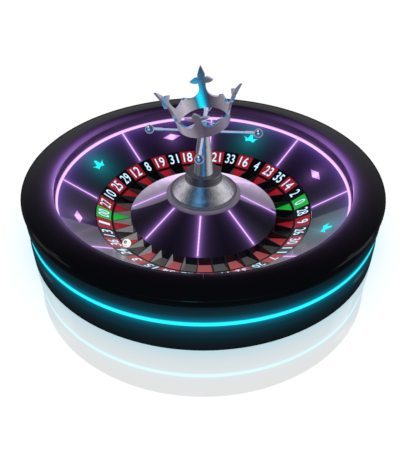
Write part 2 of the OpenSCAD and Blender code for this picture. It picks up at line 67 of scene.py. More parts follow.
apron_bar_angle = math.radians(-3.84)
rotor_bar_angle = math.radians(-4.14)
bar_pitch = math.tau / 8
sign_pitch = math.tau / 4
diamond_r, diamond_angle = 0.293, math.radians(17.6)
crown_sign_r, crown_sign_angle = 0.298, math.radians(64.2)

strip_low, strip_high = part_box("side_light_ring")
strip_z = (strip_low.z + strip_high.z) / 2
ring_low, ring_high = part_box("track_light_ring")
ring_r = ring_high.x - 0.0065
ring_z = (ring_low.z + ring_high.z) / 2


# ---- Camera ----

camera_place = (0, -1.05007, 0.80507)
camera_lens = 41.46
camera_pan = math.radians(-0.296)
camera_tip = math.radians(90 - 38.768)
camera_roll = math.radians(0.366)


def make_camera():
    """Camera at the height and distance from which the wheel is shown."""
    data = bpy.data.cameras.new("camera")
    data.sensor_width = 36.0
    data.lens = camera_lens
    camera = bpy.data.objects.new("camera", data)
    scene.collection.objects.link(camera)
    turn = Matrix.Rotation(camera_pan, 4, "Z")
    tip = Matrix.Rotation(camera_tip, 4, "X")
    roll = Matrix.Rotation(camera_roll, 4, "Z")
    camera.matrix_world = Matrix.Translation(camera_place) @ turn @ tip @ roll
    scene.camera = camera


make_camera()


# ---- Node helper ----

class Graph:
    """Short forms for building a material's nodes."""

    def __init__(self, tree):
        self.tree = tree
        self.tree.nodes.clear()

    def node(self, kind, **settings):
        n = self.tree.nodes.new(kind)
        for key, value in settings.items():
            setattr(n, key, value)
        return n

    def put(self, socket, value):
        if isinstance(value, bpy.types.NodeSocket):
            self.tree.links.new(value, socket)
        elif value is not None:
            socket.default_value = value

    def math(self, operation, a, b=None):
        n = self.node("ShaderNodeMath", operation=operation)
        self.put(n.inputs[0], a)
        self.put(n.inputs[1], b)
        return n.outputs[0]

    def line(self, value, slope, start):
        """value * slope + start."""
        return self.math("ADD", self.math("MULTIPLY", value, slope), start)

    def blend(self, a, share_a, b, share_b):
        """Sum of two values, each with its share."""
        first, second = self.math("MULTIPLY", a, share_a), self.math("MULTIPLY", b, share_b)
        return self.math("ADD", first, second)

    def above(self, value, level):
        """How far a value is above a level, or 0."""
        return self.math("MAXIMUM", self.math("SUBTRACT", value, level), 0.0)

    def gap(self, value, level):
        """How far a value is from a level."""
        return self.math("ABSOLUTE", self.math("SUBTRACT", value, level))

    def mix(self, factor, a, b):
        n = self.node("ShaderNodeMix", data_type="RGBA")
        self.put(n.inputs[0], factor)
        self.put(n.inputs[6], a)
        self.put(n.inputs[7], b)
        return n.outputs[2]

    def add(self, a, b):
        n = self.node("ShaderNodeMix", data_type="RGBA", blend_type="ADD")
        n.inputs[0].default_value = 1.0
        self.put(n.inputs[6], a)
        self.put(n.inputs[7], b)
        return n.outputs[2]

    def scale(self, color, factor):
        """A colour times a number that changes over the surface."""
        n = self.node("ShaderNodeVectorMath", operation="SCALE")
        self.put(n.inputs[0], color[:3] if isinstance(color, tuple) else color)
        self.put(n.inputs["Scale"], factor)
        return n.outputs[0]

    def split(self, vector):
        n = self.node("ShaderNodeSeparateXYZ")
        self.put(n.inputs[0], vector)
        return n.outputs[0], n.outputs[1], n.outputs[2]

    def vector(self, *parts):
        n = self.node("ShaderNodeCombineXYZ")
        for socket, part in zip(n.inputs, parts):
            self.put(socket, part)
        return n.outputs[0]

    def position(self):
        return self.node("ShaderNodeTexCoord").outputs["Object"]

    def normal(self):
        return self.node("ShaderNodeNewGeometry").outputs["Normal"]

    def polar(self):
        """Radius, angle and height of the point about the wheel's axis."""
        x, y, z = self.split(self.position())
        squares = self.math("ADD", self.math("MULTIPLY", x, x), self.math("MULTIPLY", y, y))
        return self.math("SQRT", squares), self.math("ARCTAN2", y, x), z

    def noise(self, scale, detail=3.0, rough=0.5, vector=None):
        n = self.node("ShaderNodeTexNoise")
        n.inputs["Scale"].default_value = scale
        n.inputs["Detail"].default_value = detail
        n.inputs["Roughness"].default_value = rough
        self.put(n.inputs["Vector"], vector if vector is not None else self.position())
        return n.outputs["Fac"]

    def ramp(self, value, low, high, out_low, out_high):
        n = self.node("ShaderNodeMapRange")
        for socket, v in zip(n.inputs, (value, low, high, out_low, out_high)):
            self.put(socket, v)
        return n.outputs[0]

    def spread(self, noise, low, high):
        """The usual range of a noise, spread from low to high."""
        return self.ramp(noise, 0.3, 0.7, low, high)

    def bump(self, height, distance, strength=1.0):
        n = self.node("ShaderNodeBump")
        n.inputs["Strength"].default_value = strength
        n.inputs["Distance"].default_value = distance
        self.put(n.inputs["Height"], height)
        return n.outputs[0]

    def halo(self, distance, layers):
        """Light at a distance from a lamp, in layers of (reach, strength at the lamp)."""
        total = None
        for reach, strength in layers:
            fall = self.math("EXPONENT", self.math("MULTIPLY", distance, -1.0 / reach))
            part = self.math("MULTIPLY", fall, strength)
            total = part if total is None else self.math("ADD", total, part)
        return total

    def finish(self, color, roughness, metallic=0.0, normal=None, glow=None, **fixed):
        shader = self.node("ShaderNodeBsdfPrincipled")
        self.put(shader.inputs["Base Color"], color)
        self.put(shader.inputs["Roughness"], roughness)
        shader.inputs["Metallic"].default_value = metallic
        self.put(shader.inputs["Normal"], normal)
        if glow is not None:
            self.put(shader.inputs["Emission Color"], glow)
            shader.inputs["Emission Strength"].default_value = 1.0
        for key, value in fixed.items():
            self.put(shader.inputs[key.replace("_", " ")], value)
        self.close(shader)

    def close(self, shader, kind="Material"):
        out = self.node("ShaderNodeOutput" + kind)
        self.put(out.inputs["Surface"], shader.outputs[0])


def new_material(name):
    m = bpy.data.materials.new(name)
    m.use_nodes = True
    return m, Graph(m.node_tree)


def opaque(color, level=1.0):
    """A linear colour at a level, with its alpha."""
    return tuple(level * c for c in color) + (1.0,)


def rgb(r, g, b):
    """An sRGB colour from 0 to 255 as the linear colour that shaders take."""
    def linear(v):
        v /= 255
        return v / 12.92 if v <= 0.04045 else ((v + 0.055) / 1.055) ** 2.4
    return (linear(r), linear(g), linear(b), 1.0)


purple_core = rgb(255, 206, 255)
purple_edge = rgb(196, 120, 240)
purple_glow = rgb(199, 141, 255)
ring_glow = rgb(165, 120, 255)
cyan_core = rgb(30, 255, 255)
cyan_edge = rgb(20, 205, 240)
cyan_glow = rgb(0, 190, 235)
crown_sign_glow = rgb(0, 190, 200)


# ---- Distances to the lights, in the object's own space ----

def bar_distance(g, radius, angle, first):
    """Distance to the middle line of the nearest of the eight light bars."""
    turn = wrap(g, g.math("SUBTRACT", angle, first), bar_pitch)
    return g.math("ABSOLUTE", g.math("MULTIPLY", radius, g.math("SINE", turn)))


def icon_distance(g, radius, angle, first, icon_r):
    """Distance to the middle of the nearest of four signs, seen from above."""
    turn = wrap(g, g.math("SUBTRACT", angle, first), sign_pitch)
    along = g.math("SUBTRACT", g.math("MULTIPLY", radius, g.math("COSINE", turn)), icon_r)
    across = g.math("MULTIPLY", radius, g.math("SINE", turn))
    squares = g.math("ADD", g.math("MULTIPLY", along, along), g.math("MULTIPLY", across, across))
    return g.math("SQRT", squares)


def wrap(g, turn, step):
    """An angle brought between minus and plus half a step."""
    n = g.node("ShaderNodeMath", operation="WRAP")
    for socket, value in zip(n.inputs, (turn, -step / 2, step / 2)):
        g.put(socket, value)
    return n.outputs[0]


def near_ring(g, radius, angle, z):
    return g.gap(radius, ring_r - 0.0005)


def near_strip(g, radius, angle, z):
    return g.gap(z, strip_z)


def near_diamond(g, radius, angle, z):
    return icon_distance(g, radius, angle, diamond_angle, diamond_r)


def near_crown_sign(g, radius, angle, z):
    return icon_distance(g, radius, angle, crown_sign_angle, crown_sign_r)


# ---- Glow painted on the black surfaces ----

wall_halo = ((0.007, 0.55), (0.019, 0.17))
# Painted grey light spread evenly over the side wall.
wall_painted_light = (0.0035, 0.0035, 0.0035, 1)
rim_halo = ((0.005, 0.62), (0.013, 0.18))
rim_cyan_halo = ((0.012, 0.22),)
rim_cyan_in_r, rim_cyan_out_r = 0.37, 0.39
track_halo = ((0.006, 0.12), (0.03, 0.06))
apron_bar_halo = ((0.005, 0.52), (0.02, 0.055))
apron_ring_halo = ((0.007, 0.30), (0.032, 0.10))
diamond_halo = ((0.015, 0.3),)
crown_sign_halo = ((0.024, 0.5),)
cone_bar_halo = ((0.0048, 0.58), (0.018, 0.1))
# Painted faint bluish light spread evenly over the cone.
cone_painted_light = (0.002, 0.002, 0.005, 1)
cone_foot_z, cone_lit_z = 0.0335, 0.0348

# Where the mirrored floor ends on the apron and the cone: slope and start of a line.
apron_sheen_line, apron_sheen = (0.065, 0.172), 0.76
cone_sheen_line, cone_sheen = (1.39, -0.243), 1.6
sheen_edge = 0.006


def wall_glow(g, radius, angle, z):
    light = g.halo(near_strip(g, radius, angle, z), wall_halo)
    return g.add(g.scale(cyan_glow, light), wall_painted_light)


def rim_glow(g, radius, angle, z):
    """Purple from the ring, strongest at the sides, and cyan low on the outside."""
    light = g.halo(g.above(radius, ring_r + 0.0015), rim_halo)
    aside = g.math("POWER", g.math("ABSOLUTE", g.math("COSINE", angle)), 4.0)
    violet = g.scale(purple_glow, g.math("MULTIPLY", light, g.line(aside, 0.9, 0.08)))
    outside = g.ramp(radius, rim_cyan_in_r, rim_cyan_out_r, 0.0, 1.0)
    low = g.math("MULTIPLY", g.halo(g.above(z, strip_z), rim_cyan_halo), outside)
    return g.add(violet, g.scale(cyan_glow, low))


def track_glow(g, radius, angle, z):
    return g.scale(purple_glow, g.halo(g.above(z, ring_z), track_halo))


def apron_glow(g, radius, angle, z):
    inward = g.math("MAXIMUM", g.math("SUBTRACT", ring_r, radius), 0.0)
    bars = g.halo(bar_distance(g, radius, angle, apron_bar_angle), apron_bar_halo)
    signs = g.halo(near_diamond(g, radius, angle, z), diamond_halo)
    violet = g.add(g.scale(purple_glow, g.math("ADD", bars, signs)),
                   g.scale(ring_glow, g.halo(inward, apron_ring_halo)))
    blue = g.scale(crown_sign_glow, g.halo(near_crown_sign(g, radius, angle, z), crown_sign_halo))
    x, y, up = g.split(g.normal())
    past_edge = g.math("SUBTRACT", y, g.line(x, *apron_sheen_line))
    sheen = front_sheen(g, past_edge, apron_sheen, (0.95, 0.93, 1.0))
    return g.add(g.add(violet, blue), sheen)


def cone_glow(g, radius, angle, z):
    bars = g.halo(bar_distance(g, radius, angle, rotor_bar_angle), cone_bar_halo)
    bars = g.math("MULTIPLY", bars, g.ramp(z, cone_foot_z, cone_lit_z, 0.0, 1.0))
    x, y, up = g.split(g.normal())
    past_edge = g.math("SUBTRACT", y, g.line(radius, *cone_sheen_line))
    sheen = front_sheen(g, past_edge, cone_sheen, (1.0, 0.85, 1.15))
    return g.add(g.add(g.scale(purple_glow, bars), cone_painted_light), sheen)


def front_sheen(g, past_edge, amount, color):
    """Pale studio floor mirrored in lacquer, with a crisp edge where it ends."""
    skim = g.node("ShaderNodeFresnel")
    skim.inputs["IOR"].default_value = 1.5
    lit = g.ramp(past_edge, -sheen_edge, sheen_edge, 0.0, amount)
    return g.scale(color, g.math("MULTIPLY", skim.outputs[0], lit))


# ---- Materials: lacquer and lights ----

def black_gloss(name, glow, rough=(0.07, 0.13), level=0.35):
    """Black lacquer: faint cloudiness, fine polishing marks and a very soft waviness."""
    m, g = new_material(name)
    base = (0.0025, 0.0022, 0.003)
    cloud = g.noise(9.0, 4.0, 0.6)
    marks = g.noise(900.0, 2.0, 0.5)
    roughness = g.spread(g.blend(cloud, 0.6, marks, 0.4), *rough)
    normal = g.bump(g.noise(14.0, 1.0), 0.0004, 0.25)
    # The glow passed in is painted light: lamp halos and, on some parts, a painted reflection of
    # the floor.
    g.finish(g.mix(cloud, opaque(base), opaque(base, 1.8)), roughness, 0.0, normal,
             glow(g, *g.polar()), Specular_IOR_Level=level)
    return m


def diffuser(g, color, power, base):
    """Closes the material of a lit, slightly satin diffuser."""
    g.finish(base, g.spread(g.noise(300), 0.3, 0.4), glow=g.scale(color, power),
             Specular_IOR_Level=0.1)


def light_bar(name, first):
    """A lit diffuser bar: nearly white in the middle, coloured at its edges."""
    m, g = new_material(name)
    core_half, edge_half, led_pitch = 0.0006, 0.0024, 0.0083
    radius, angle, z = g.polar()
    side = g.ramp(bar_distance(g, radius, angle, first), core_half, edge_half, 0.0, 1.0)
    wave = g.math("SINE", g.math("MULTIPLY", radius, math.tau / led_pitch))
    power = g.math("MULTIPLY", g.ramp(wave, -1, 1, 0.94, 1.04), 1.08)
    diffuser(g, g.mix(side, purple_core, purple_edge), power, (0.03, 0.02, 0.03, 1))
    return m


def light_face(name, core, edge, distance_of, inner, outer):
    """A lit diffuser whose colour deepens between an inner and an outer distance."""
    m, g = new_material(name)
    side = g.ramp(distance_of(g, *g.polar()), inner, outer, 0.0, 1.0)
    power = g.math("MULTIPLY", g.spread(g.noise(60, 2), 0.97, 1.03), 1.05)
    diffuser(g, g.mix(side, core, edge), power, (0.02, 0.03, 0.03, 1))
    return m


# ---- Materials: painted sheen over a turned part ----

# Colour stops of painted studio light, painted highlights and painted reflections, from one side of
# a part to the other.
back_sheen_stops = [(0.0, (90, 90, 95)), (0.2, (150, 150, 154)), (0.45, (70, 70, 74)),
             (0.7, (135, 135, 140)), (1.0, (90, 90, 95))]
turned_front_sheen = [(0.0, (126, 124, 132)), (0.05, (188, 184, 194)), (0.12, (156, 154, 161)),
                (0.20, (92, 98, 108)), (0.28, (44, 62, 80)), (0.36, (64, 108, 144)),
                (0.42, (72, 128, 168)), (0.49, (34, 84, 124)), (0.56, (28, 44, 60)),
                (0.66, (92, 93, 98)), (0.79, (150, 150, 154)), (0.91, (194, 191, 198)),
                (0.97, (180, 176, 186)), (1.0, (116, 112, 124))]
column_front_sheen = [(0.0, (112, 112, 118)), (0.06, (72, 73, 78)), (0.22, (92, 94, 100)),
                (0.38, (48, 58, 70)), (0.45, (26, 98, 150)), (0.53, (30, 124, 184)),
                (0.58, (24, 58, 86)), (0.64, (60, 62, 66)), (0.72, (148, 148, 152)),
                (0.86, (178, 178, 182)), (0.95, (148, 148, 154)), (1.0, (92, 92, 98))]
crown_outer_sheen = [(0.0, (96, 94, 104)), (0.14, (160, 152, 170)), (0.28, (146, 137, 154)),
               (0.44, (98, 90, 106)), (0.56, (80, 73, 90)), (0.76, (98, 90, 106)),
               (0.9, (128, 120, 138)), (1.0, (108, 103, 118))]
crown_band_low_sheen = [(0.0, (140, 135, 146)), (0.12, (122, 117, 127)), (0.26, (84, 82, 90)),
             (0.37, (48, 54, 62)), (0.42, (16, 104, 156)), (0.46, (4, 190, 226)),
             (0.51, (0, 240, 255)), (0.56, (0, 210, 238)), (0.60, (56, 104, 128)),
             (0.68, (138, 138, 144)), (0.85, (190, 184, 196)), (1.0, (152, 148, 157))]
crown_band_high_sheen = [(0.0, (140, 135, 146)), (0.3, (104, 100, 110)), (0.42, (40, 72, 96)),
              (0.5, (28, 112, 166)), (0.6, (30, 132, 186)), (0.7, (60, 108, 136)),
              (0.85, (168, 162, 174)), (1.0, (150, 146, 155))]
arm_sheen_stops = [(0.0, (60, 58, 80)), (0.35, (44, 70, 104)), (0.5, (60, 150, 200)),
             (0.64, (104, 176, 214)), (0.78, (164, 160, 184)), (1.0, (188, 182, 204))]
# Painted reflection on the turret's balls, from the middle out to the rim.
ball_reflection_stops = [(0.0, (26, 52, 84)), (0.25, (44, 66, 96)), (0.45, (108, 104, 124)),
              (0.7, (158, 152, 172)), (0.9, (176, 170, 190)), (1.0, (120, 116, 134))]

# Painted sheen on upward faces, painted shade on downward faces and at the turret's foot.
turned_top_sheen = rgb(112, 105, 122)
turned_under_shade = rgb(92, 86, 102)
turned_foot_shade = rgb(84, 74, 98)
foot_low_z, foot_high_z = 0.0868, 0.0876
crown_low_z, crown_high_z = 0.305, 0.338
# Painted highlights on the crown's cut edges, pale with blue patches.
crown_edge_highlight = rgb(172, 168, 196)
crown_edge_blue_highlight = rgb(48, 122, 176)


def color_ramp(g, value, stops):
    n = g.node("ShaderNodeValToRGB")
    g.put(n.inputs[0], value)
    elements = n.color_ramp.elements
    while len(elements) < len(stops):
        elements.new(0.5)
    for element, (place, color) in zip(elements, stops):
        element.position = place
        element.color = rgb(*color)
    return n.outputs[0]


def facing(g):
    """The normal's three parts, and its side-to-side turn about the axis from 0 to 1."""
    x, y, z = g.split(g.normal())
    level = g.math("SQRT", g.math("SUBTRACT", 1.0, g.math("MULTIPLY", z, z)))
    side = g.math("DIVIDE", x, g.math("MAXIMUM", level, 0.05))
    return x, y, z, g.ramp(side, -1.0, 1.0, 0.0, 1.0)


def front_to_back(g, y, front, back):
    """One colour on the side towards the front, another on the side away from it."""
    return g.mix(g.ramp(y, -0.1, 0.1, 0.0, 1.0), front, back)


def turned_sheen(stops):
    """Painted studio light on a turned part, streaked by its brushing, with painted shade
    underneath and at the foot.
    """
    def light(g):
        x, y, z, across = facing(g)
        radius, angle, height = g.polar()
        grain = g.vector(g.math("MULTIPLY", angle, 34.0), g.math("MULTIPLY", height, 90.0))
        across = g.math("ADD", across, g.spread(g.noise(1.0, 5.0, 0.7, grain), -0.08, 0.08))
        tone = front_to_back(g, y, color_ramp(g, across, stops), color_ramp(g, across, back_sheen_stops))
        tone = g.mix(g.ramp(z, 0.78, 0.97, 0.0, 1.0), tone, turned_top_sheen)
        tone = g.mix(g.ramp(z, -0.35, -0.05, 1.0, 0.0), tone, turned_under_shade)
        return g.mix(g.ramp(height, foot_low_z, foot_high_z, 1.0, 0.0), tone, turned_foot_shade)
    return light


def crown_sheen(g):
    """Painted sheen: lilac outside, a painted cyan reflection band inside the back of the crown,
    painted highlights on the cut edges.
    """
    x, y, z, across = facing(g)
    place_x, place_y, place_z = g.split(g.position())
    way_x, way_y, way_z = g.split(g.node("ShaderNodeTexCoord").outputs["Normal"])
    outward = g.math("ADD", g.math("MULTIPLY", place_x, way_x), g.math("MULTIPLY", place_y, way_y))
    inside = g.ramp(outward, -0.01, 0.01, 1.0, 0.0)
    up = g.ramp(place_z, crown_low_z, crown_high_z, 0.0, 1.0)
    band = g.mix(up, color_ramp(g, across, crown_band_low_sheen), color_ramp(g, across, crown_band_high_sheen))
    front = g.mix(inside, color_ramp(g, across, crown_outer_sheen), band)
    tone = front_to_back(g, y, front, color_ramp(g, across, back_sheen_stops))
    highlight_patches = g.ramp(g.noise(34.0, 1.0), 0.46, 0.58, 0.0, 1.0)
    edge = g.mix(highlight_patches, crown_edge_highlight, crown_edge_blue_highlight)
    return g.mix(g.ramp(z, 0.55, 0.75, 0.0, 1.0), tone, edge)


def arm_sheen(g):
    x, y, z = g.split(g.normal())
    return color_ramp(g, g.ramp(z, -1.0, 1.0, 0.0, 1.0), arm_sheen_stops)


# ---- Materials: metals ----

fine_bands = 1400.0


def lathe_rings(g, bands, wind):
    """Fine rings round the axis that wind slowly as they go round."""
    radius, angle, z = g.polar()
    line = g.vector(g.math("MULTIPLY", radius, bands), g.math("MULTIPLY", angle, wind),
                    g.math("MULTIPLY", z, bands))
    return g.noise(1.0, 3.0, 0.6, line)


def turned_metal(name, color, rough):
    """Metal turned on a lathe: fine rings round the axis, cut by slower colour change."""
    m, g = new_material(name)
    rings = lathe_rings(g, fine_bands, 1.6)
    smoke = g.noise(38.0, 4.0, 0.6)
    shade = g.spread(g.blend(rings, 0.5, smoke, 0.5), 0, 1)
    tone = g.mix(shade, opaque(color, 0.75), opaque(color))
    roughness = g.spread(g.blend(rings, 0.6, smoke, 0.4), *rough)
    g.finish(tone, roughness, 1.0, g.bump(rings, 0.00012, 0.35))
    return m


def polished_metal(name, color, rough):
    """Polished metal with faint smears and hairline scratches."""
    m, g = new_material(name)
    smear = g.noise(120.0, 4.0, 0.6)
    hair = g.noise(1440.0, 2.0, 0.5)
    tone = g.mix(smear, opaque(color, 0.85), opaque(color))
    roughness = g.spread(g.blend(smear, 0.7, hair, 0.3), *rough)
    g.finish(tone, roughness, 1.0, g.bump(hair, 0.00003, 0.3))
    return m


def satin_silver(name, light, color, rough, amount=1.0, bands=fine_bands):
    """Turned satin metal: fine rings, stretched highlights and a painted soft studio sheen."""
    m, g = new_material(name)
    rings = lathe_rings(g, bands, 5.0)
    smoke = g.noise(46.0, 5.0, 0.65)
    mottle = g.spread(g.blend(rings, 0.45, smoke, 0.55), 0.88, 1.1)
    tangent = g.node("ShaderNodeTangent", direction_type="RADIAL", axis="Z")
    g.finish(g.scale(color, mottle), g.spread(rings, *rough), 1.0, g.bump(rings, 0.0001, 0.3),
             g.scale(light(g), g.math("MULTIPLY", mottle, amount)),
             Anisotropic=0.6, Tangent=tangent.outputs[0])
    return m


def spot(g, direction, near, far):
    """1 where a surface faces a direction, 0 where it turns away; near and far are cosines."""
    dot = g.node("ShaderNodeVectorMath", operation="DOT_PRODUCT")
    g.put(dot.inputs[0], g.normal())
    dot.inputs[1].default_value = Vector(direction).normalized()
    return g.ramp(dot.outputs["Value"], far, near, 0.0, 1.0)


def white_ball(name):
    """Polished white ball, its white painted as glow, with a painted dark reflection and a painted
    lamp highlight in it.
    """
    m, g = new_material(name)
    head = spot(g, (-0.22, -0.52, 0.80), 0.94, 0.875)
    stem = spot(g, (-0.14, -0.97, 0.1), 0.975, 0.93)
    lamp = g.scale((0.5, 0.55, 0.6), spot(g, (-0.15, -0.58, 0.80), 0.997, 0.985))
    dark = g.math("MULTIPLY", g.math("MAXIMUM", head, g.math("MULTIPLY", stem, 0.4)), 0.92)
    light = g.add(g.mix(dark, (0.93, 0.93, 0.94, 1), (0.02, 0.025, 0.03, 1)), lamp)
    smear = g.noise(150.0, 3.0)
    tone = g.mix(smear, (0.10, 0.10, 0.11, 1), (0.14, 0.14, 0.15, 1))
    g.finish(tone, g.spread(smear, 0.06, 0.12), glow=light)
    return m


def chrome_ball(name):
    """Polished ball with a painted reflection: pale rim, dark blue middle and two small painted
    lamp highlights near it.
    """
    m, g = new_material(name)
    blue = g.scale(rgb(40, 185, 235), spot(g, (-0.12, -0.9, 0.34), 0.985, 0.93))
    white = g.scale((0.85, 0.85, 0.95), spot(g, (-0.2, -0.55, 0.85), 0.99, 0.97))
    rim = g.node("ShaderNodeLayerWeight")
    rim.inputs[0].default_value = 0.5
    body = color_ramp(g, rim.outputs["Facing"], ball_reflection_stops)
    smear = g.noise(150.0, 3.0)
    tone = g.mix(smear, (0.2, 0.2, 0.22, 1), (0.26, 0.26, 0.28, 1))
    g.finish(tone, g.spread(smear, 0.08, 0.14), 1.0, glow=g.add(g.add(blue, white), body))
    return m


# ---- Materials: the rest ----

def plastic(name, color, rough, grain=700.0, depth=0.00006, level=0.4, dark=0.8, glow=None,
            front_reflection=0.0):
    """Moulded plastic or paint with a fine grain, an optional painted glow, and a painted
    reflection of pale studio light on its front.
    """
    m, g = new_material(name)
    tone = g.mix(g.noise(26.0, 4.0, 0.6), opaque(color, dark), opaque(color))
    fine = g.noise(grain, 2.0, 0.5)
    light = g.scale(glow, g.spread(g.noise(26.0), 0.9, 1.1)) if glow else None
    if front_reflection:
        x, y, z = g.split(g.normal())
        away = g.math("MULTIPLY", g.ramp(y, 0.1, 0.32, 0.0, 1.0), front_reflection)
        pale = g.scale((1.0, 0.93, 0.95), away)
        light = g.add(light, pale) if glow else pale
    g.finish(tone, g.spread(fine, *rough), 0.0, g.bump(fine, depth, 0.4), light,
             Specular_IOR_Level=level)
    return m


def fin_look(name):
    """Blackened fins; those in the left half carry a painted reflection of the pale floor on the
    side to the front.
    """
    m, g = new_material(name)
    x, y, z = g.split(g.normal())
    place = g.split(g.node("ShaderNodeNewGeometry").outputs["Position"])
    front = g.ramp(g.math("SUBTRACT", g.math("MULTIPLY", x, 0.9), y), 0.75, 1.3, 0.01, 0.22)
    left = g.ramp(place[0], -0.05, 0.1, 1.0, 0.0)
    smear = g.noise(120.0, 4.0, 0.6)
    lit = g.math("MULTIPLY", g.math("MULTIPLY", front, left), g.spread(smear, 0.85, 1.1))
    tone = g.mix(smear, (0.01, 0.01, 0.011, 1), (0.02, 0.02, 0.021, 1))
    g.finish(tone, g.spread(smear, 0.28, 0.42), glow=g.scale((1.0, 0.97, 1.0), lit),
             Specular_IOR_Level=0.3)
    return m


def circuit_board(name):
    """Solder mask with rows of copper traces and pads."""
    m, g = new_material(name)
    brick = g.node("ShaderNodeTexBrick")
    g.put(brick.inputs["Vector"], g.position())
    brick.inputs["Scale"].default_value = 160.0
    brick.inputs["Mortar Size"].default_value = 0.06
    mask = g.mix(g.noise(90.0), (0.004, 0.05, 0.02, 1), (0.008, 0.085, 0.035, 1))
    g.finish(g.mix(brick.outputs["Fac"], mask, (0.5, 0.32, 0.12, 1)), 0.35)
    return m


# Strength of the painted reflection of the pale floor on the plates' front.
plate_front_reflection = 0.08
soft_silver = (0.1, 0.1, 0.11)
bright_silver = (0.2, 0.2, 0.22)
turned_light = turned_sheen(turned_front_sheen)

materials = {
    "foot_rubber": plastic("rubber", (0.02, 0.02, 0.02), (0.6, 0.8), 400, 0.0002),
    "base_metal": plastic("powder_coat", (0.02, 0.02, 0.022), (0.45, 0.6), 1200, 0.0001),
    "screw_steel": turned_metal("screw_steel", (0.5, 0.5, 0.52), (0.25, 0.4)),
    "rib_plastic": plastic("rib_plastic", (0.03, 0.03, 0.032), (0.4, 0.55)),
    "machined_steel": turned_metal("machined_steel", (0.5, 0.5, 0.52), (0.2, 0.35)),
    "bearing_steel": polished_metal("bearing_steel", (0.7, 0.7, 0.72), (0.08, 0.16)),
    "carbon": plastic("carbon", (0.03, 0.03, 0.03), (0.5, 0.7)),
    "brass": turned_metal("brass", (0.75, 0.55, 0.22), (0.2, 0.32)),
    "nut_plate": polished_metal("nut_plate", (0.6, 0.6, 0.58), (0.15, 0.25)),
    "rotor_aluminium": turned_metal("cast_aluminium", (0.6, 0.6, 0.62), (0.3, 0.45)),
    "circuit_board": circuit_board("circuit_board"),
    "ring_black": plastic("ring_black", (0.006, 0.006, 0.007), (0.12, 0.2), level=0.3),
    # The red and green plates glow with painted light; every plate carries a painted front
    # reflection.
    "plate_red": plastic("plate_red", (0.36, 0.010, 0.02), (0.22, 0.32), level=0.3,
                         glow=(0.2, 0.004, 0.01), front_reflection=plate_front_reflection),
    "plate_black": plastic("plate_black", (0.004, 0.004, 0.005), (0.2, 0.3), level=0.25,
                           front_reflection=plate_front_reflection),
    "plate_green": plastic("plate_green", (0.012, 0.45, 0.05), (0.22, 0.32), level=0.3,
                           glow=(0.004, 0.28, 0.025), front_reflection=plate_front_reflection),
    "fin_metal": fin_look("fin_metal"),
    "turret_silver": satin_silver("turret_silver", turned_light, (0.12, 0.12, 0.13), (0.28, 0.4)),
    "turret_chrome": satin_silver("arm_silver", arm_sheen, bright_silver, (0.15, 0.22)),
    "crown_silver": satin_silver("crown_silver", crown_sheen, (0.06, 0.06, 0.07), (0.25, 0.35),
                                 bands=300.0),
    "ball_white": white_ball("ball_white"),
    "body_gloss_black": black_gloss("wall_black", wall_glow),
    "track_gloss_black": black_gloss("track_black", track_glow),
    "apron_gloss_black": black_gloss("apron_black", apron_glow),
    "cone_gloss_black": black_gloss("cone_black", cone_glow, rough=(0.2, 0.28), level=0.25),
    "purple_light": light_bar("apron_bar_light", apron_bar_angle),
    "cyan_light": light_face("side_light", cyan_core, cyan_edge, near_strip, 0.0035, 0.005),
}
special = {
    "turret_balls": chrome_ball("arm_ball_chrome"),
    "turret_collar": satin_silver("collar_silver", turned_light, (0.06, 0.06, 0.065),
                                  (0.25, 0.35), 0.24),
    "turret_column": satin_silver("column_silver", turned_sheen(column_front_sheen), soft_silver,
                                  (0.25, 0.35)),
    "rim_cap": black_gloss("rim_black", rim_glow, level=0.22),
    "rotor_light_bars": light_bar("rotor_bar_light", rotor_bar_angle),
    "track_light_ring": light_face("track_light", purple_core, purple_edge, near_ring,
                                   0.0012, 0.0032),
    "diamond_lights": light_face("diamond_light", purple_core, purple_edge, near_diamond,
                                 0.004, 0.02),
    "crown_lights": light_face("crown_light", cyan_core, cyan_edge, near_crown_sign,
                               0.012, 0.022),
}


def paint_cad_nodes():
    for row in frame["record"]["subparts"]:
        name = row["node"]
        look = special.get(name, materials[row["material_slot"]])
        for slot in frame["nodes"][name].material_slots:
            slot.material = look


paint_cad_nodes()


# ---- Pieces built here ----

def add_piece(name, verts, faces, material, body, smooth=True):
    mesh = bpy.data.meshes.new(name)
    mesh.from_pydata(verts, [], faces)
    mesh.validate()
    mesh.materials.append(material)
    for polygon in mesh.polygons:
        polygon.use_smooth = smooth
    piece = bpy.data.objects.new(name, mesh)
    scene.collection.objects.link(piece)
    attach(piece, body)
    return piece


numeral_height = 0.0278
two_digits_width, one_digit_width, figure_one_width = 0.0238, 0.0118, 0.008


def numeral_width(label):
    if label == "1":
        return figure_one_width
    return two_digits_width if len(label) == 2 else one_digit_width


def text_mesh(label, height, width, swell):
    """Flat numerals of a given height and width, swollen outlines, as points and faces."""
    curve = bpy.data.curves.new("numeral", "FONT")
    curve.body = label
    curve.offset = swell
    curve.resolution_u = 5
    curve.space_character = 1.02
    maker = bpy.data.objects.new("numeral", curve)
    scene.collection.objects.link(maker)
    bpy.context.view_layer.update()
    graph = bpy.context.evaluated_depsgraph_get()
    mesh = bpy.data.meshes.new_from_object(maker.evaluated_get(graph))
    points = [v.co.copy() for v in mesh.vertices]
    faces = [tuple(p.vertices) for p in mesh.polygons]
    bpy.data.objects.remove(maker)
    bpy.data.curves.remove(curve)
    bpy.data.meshes.remove(mesh)
    low = Vector((min(p.x for p in points), min(p.y for p in points)))
    high = Vector((max(p.x for p in points), max(p.y for p in points)))
    middle = (low + high) / 2
    size = high - low
    flat = [((p.x - middle.x) / size.x * width, (p.y - middle.y) / size.y * height)
            for p in points]
    return flat, faces


